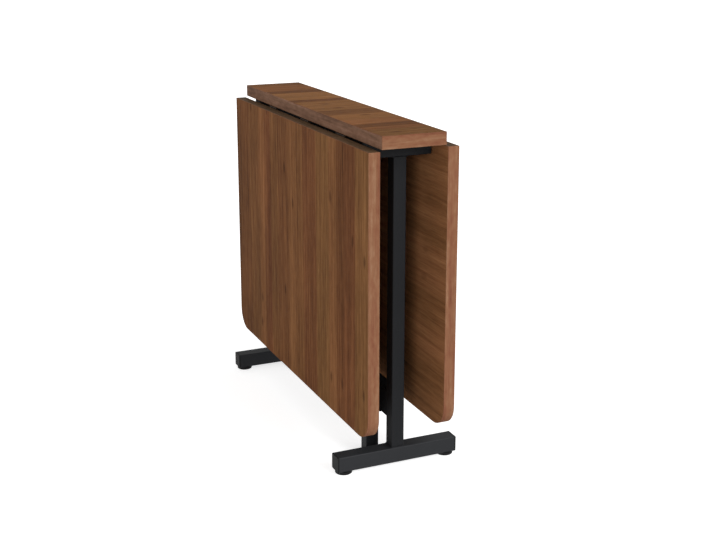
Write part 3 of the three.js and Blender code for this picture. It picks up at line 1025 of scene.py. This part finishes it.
def screw(head, length, shank, flat):
    """A screw along +Z, its head's top at zero and facing down."""
    if flat:
        profile = [(head * 0.97, 0), (head, 0.12), (head, 0.25), (shank, head - shank + 0.1)]
    else:
        dome = ((0.55, 0), (0.85, 0.16), (1, 0.45), (1, 0.62))
        profile = [(head * out, head * up) for out, up in dome] + [(shank, head * 0.62)]
    bm = cross_pocket(profile[0][0], CROSS_DEPTH * head)
    profile += [(shank, length - 2 * shank), (0, length)]
    add_to(bm, lathe(profile, steps=SCREW_STEPS))
    bmesh.ops.remove_doubles(bm, verts=bm.verts, dist=1e-3)
    return bm


print("Sides of a screw:", SCREW_STEPS)

# %% Screws
# Head radius, length, shank radius, whether the head is flat
HINGE_SCREW = (2.85, 14, 1.5, True)
PLATE_SCREW = (3.85, 18, 2, True)
FRAME_SCREW = (4.8, 45, 2.3, False)
HEAD = spans("near_head_bar")
FRAME_SCREW_LOW = HEAD[2][0] - 3


def screwed(name, bm, turned, body="frame"):
    finished(f"{name}_screw", bm, (screw_steel,), body, turned=turned)


for end, side, _, turned in HALVES:
    for along, *places in HINGE_PLACES:
        hinge = f"{side}_{places[turned]}_hinge"
        for number, (x, out) in enumerate(HINGE_HOLES, 1):
            board_screw = move(screw(*HINGE_SCREW), x, out, SHEET_LOW)
            screwed(f"{hinge}_board_{number}", hung(board_screw, along, False), turned)
            leaf_screw = hung(move(screw(*HINGE_SCREW), x, -out, SHEET_LOW), along, True)
            screwed(f"{hinge}_leaf_{number}", leaf_screw, turned, f"{side}_leaf")
    for number, place in enumerate(PLATE_HOLES, 1):
        plate_screw = move(screw(*PLATE_SCREW), *place, PLATE_UNDER)
        screwed(f"{side}_pivot_plate_{number}", plate_screw, turned)
    for number, y in enumerate((-45, 45), 1):
        bar_screw = move(screw(*FRAME_SCREW), middle(HEAD[0]), y, FRAME_SCREW_LOW)
        screwed(f"{end}_head_bar_{number}", bar_screw, turned)
    rail_screw = move(screw(*FRAME_SCREW), 120, 0, FRAME_SCREW_LOW)
    screwed(f"{end}_upper_rail", rail_screw, turned)
print("Pieces so far:", len(made))

# %% [markdown]
# ## Weld beads
#
# Every joint of the frame is welded and then coated, which leaves a rippled bead in the corner
# between two tubes. A grid is wrapped along a path: one of its sides runs along the bead and the
# other round it, and the ripples are a small rhythm in the radius. Its ends taper to nothing.

# %% One bead
WELD, WELD_HALF = 1.9, 14  # radius, and half the length across a tube
BEAD_STEPS, BEAD_PITCH, RIPPLE = 8, 0.7, 2.2


def bead(points, radius, up, closed=False):
    """A rippled bead along a path, lying in a corner."""
    points = [Vector(point) for point in points]
    if closed:
        points.append(points[0])
    lengths = [0.0]
    for first, second in zip(points, points[1:]):
        lengths.append(lengths[-1] + (second - first).length)
    total = lengths[-1]
    count = max(8, round(total / BEAD_PITCH))
    ripple = total / round(total / RIPPLE)
    bm = bmesh.new()
    bmesh.ops.create_grid(bm, x_segments=count, y_segments=BEAD_STEPS, size=1)
    for vert in bm.verts:
        place = (vert.co.x + 1) / 2 * total
        angle = (vert.co.y + 1) * math.pi
        piece = max(i for i in range(len(points) - 1) if lengths[i] <= place + 1e-6)
        part = (place - lengths[piece]) / (lengths[piece + 1] - lengths[piece])
        along = (points[piece + 1] - points[piece]).normalized()
        side = along.cross(Vector(up)).normalized()
        taper = 1 if closed else min(1, math.sqrt(max(0, min(place, total - place) / radius)))
        size = radius * taper * (0.9 + 0.14 * abs(math.sin(math.pi * place / ripple)))
        around = side * math.cos(angle) + side.cross(along) * math.sin(angle)
        vert.co = points[piece].lerp(points[piece + 1], part) + around * size
    bmesh.ops.remove_doubles(bm, verts=bm.verts, dist=0.02)
    return bm


def square_path(centre, half, corner, height):
    """The path round a square tube at a height, from the middle of one side."""
    path = [(centre + half, 0, height)]
    for quarter in range(4):
        for step in range(5):
            angle = (quarter + step / 4) * math.pi / 2
            x = (half - corner) * (1 if quarter in (0, 3) else -1) + corner * math.cos(angle)
            y = (half - corner) * (1 if quarter in (0, 1) else -1) + corner * math.sin(angle)
            path.append((centre + x, y, height))
    return path


def crosswise(x, z, y=0):
    """A straight path across a tube's face."""
    return [(x, y - WELD_HALF, z), (x, y + WELD_HALF, z)]


print("Ripples in mm:", RIPPLE)

# %% Weld beads
UP, LENGTHWISE = (0, 0, 1), (1, 0, 0)
BESIDE = 15.2  # from the middle of a 30 mm tube to just outside it
SIDES = (("left", -BESIDE), ("right", BESIDE))
GATE_ARC = [math.radians(angle) for angle in range(-66, 67, 6)]
STRETCHER = spans("stretcher")
POST_X, _, (POST_FOOT, POST_HEAD) = spans("near_post")
POST_MIDDLE = middle(POST_X)


def frame_beads():
    """The beads of the near end frame, by joint."""
    inner = STRETCHER[0][1] + SEAM / 2
    foot = square_path(POST_MIDDLE, BESIDE, TUBE_CORNER, POST_FOOT - 0.1)
    beads = {"post_foot": bead(foot, WELD, UP, closed=True)}
    for word, y in SIDES:
        path = [(POST_MIDDLE + x, y, POST_HEAD) for x in (-WELD_HALF, WELD_HALF)]
        beads[f"post_head_{word}"] = bead(path, WELD, UP)
    for word, z in (("top", STRETCHER[2][1] + 0.2), ("under", STRETCHER[2][0] - 0.2)):
        beads[f"stretcher_{word}"] = bead(crosswise(inner, z), WELD, LENGTHWISE)
    for word, y in SIDES:
        path = [(inner, y, HEAD[2][0] + 1), (inner, y, HEAD[2][1] - 2)]
        beads[f"rail_{word}"] = bead(path, WELD, LENGTHWISE)
    beads["rail_under"] = bead(crosswise(inner, HEAD[2][0] + 0.3), 1.2, LENGTHWISE)
    return beads


def plate_bead():
    """The bead between the stretcher's side and the lower pivot plate's top."""
    height = TONGUE_UNDER + PLATE - 0.1
    return bead([(PIVOT[0] + x, -BESIDE, height) for x in (-15, 15)], 1.7, UP)


def gate_beads():
    """The beads of the left gate's rails, at its leg and at its pivot tube."""
    beads = {}
    for joint, z in (
        ("upper_rail_under", GATE_TOP - 30.1),
        ("lower_rail_top", GATE_LOW + 30.1),
        ("lower_rail_under", GATE_LOW + 0.1),
    ):
        leg_path = crosswise(LEG[0][0] - SEAM / 2, z, PIVOT[1])
        beads[f"{joint}_leg"] = bead(leg_path, WELD, LENGTHWISE)
        round_path = [
            (PIVOT[0] + BESIDE * math.cos(angle), PIVOT[1] + BESIDE * math.sin(angle), z)
            for angle in GATE_ARC
        ]
        beads[f"{joint}_pivot"] = bead(round_path, WELD, UP)
    return beads


def welded(name, bm, body, turned):
    finished(f"{name}_weld", bm, (powder_coat,), body, turned=turned)


for end, side, _, turned in HALVES:
    for joint, bm in frame_beads().items():
        welded(f"{end}_{joint}", bm, "frame", turned)
    welded(f"{side}_lower_pivot_plate", plate_bead(), "frame", turned)
    for joint, bm in gate_beads().items():
        welded(f"{side}_gate_{joint}", bm, f"{side}_gate", turned)
print("Pieces in all:", len(made))

# %% [markdown]
# ## Floor, light and background
#
# The photograph has a plain white ground. A white floor alone would need so much light that the
# table washes out, so the camera, and rays that bounce off gloss, see the floor with some white
# added and the sky as plain white, while the light that falls on the table stays moderate. The
# floor is still lit and keeps the soft shadow. Area lamps would leave their shapes on the table, so
# two broad suns light it: the key comes low from the near end and the fill from the left.

# %% Floor
SEEN_WHITE = 0.68
BLACK, WHITE = (0, 0, 0, 1), (1, 1, 1, 1)


def seen_straight(finish):
    """1 for rays from the camera, or from gloss or glass, and 0 for light that falls on things."""
    path = finish.node("ShaderNodeLightPath", {}, {}).socket.node.outputs
    names = ("Is Camera Ray", "Is Glossy Ray", "Is Transmission Ray")
    first, second, third = (Wire(finish, path[name]) for name in names)
    return (first + second + third).clamped()


floor_finish = Finish("pale_floor", None, {
    "Base Color": (0.8, 0.8, 0.8, 1), "Roughness": 0.9,
    "Specular IOR Level": 0.0, "Emission Strength": SEEN_WHITE,
})
glow = floor_finish.mixed(seen_straight(floor_finish), BLACK, WHITE)
floor_finish.wear_into(Emission_Color=glow)
floor_mesh = bpy.data.meshes.new("floor")
floor_bm = bmesh.new()
bmesh.ops.create_grid(floor_bm, x_segments=1, y_segments=1, size=40)
floor_bm.to_mesh(floor_mesh)
floor_bm.free()
floor_mesh.materials.append(floor_finish.material)
floor = shown("floor", floor_mesh)
print("Floor laid, its white:", SEEN_WHITE)

# %% Light and sky
SKY_LIGHT = 0.48


def sun(name, strength, towards, degrees):
    """A lamp far away, so many degrees wide, shining from a direction."""
    lamp_data = bpy.data.lights.new(name, "SUN")
    lamp_data.energy = strength
    lamp_data.angle = math.radians(degrees)
    lamp = shown(name, lamp_data)
    lamp.rotation_mode = "QUATERNION"
    lamp.rotation_quaternion = Vector(towards).to_track_quat("Z", "Y")


sun("key", strength=2.2, towards=(0.78, 0.5, 0.5), degrees=40)
sun("fill", strength=1.0, towards=(0.78, -0.58, 0.22), degrees=25)

world = bpy.data.worlds.new("studio")
world.use_nodes = True
bpy.context.scene.world = world


class Sky(Finish):
    """The world's nodes, with the same helpers as a finish."""

    def __init__(self, tree):
        self.tree = tree
        tree.nodes.clear()


sky = Sky(world.node_tree)
soft = sky.node("ShaderNodeBackground", {}, {"Color": WHITE, "Strength": SKY_LIGHT})
white = sky.node("ShaderNodeBackground", {}, {"Color": WHITE, "Strength": 1})
both = sky.node("ShaderNodeMixShader", {}, {0: seen_straight(sky), 1: soft, 2: white})
world_output = sky.tree.nodes.new("ShaderNodeOutputWorld")
sky.tree.links.new(both.socket, world_output.inputs[0])
bpy.context.scene.view_settings.view_transform = "Standard"
print("Suns:", len(bpy.data.lights), "sky:", SKY_LIGHT)
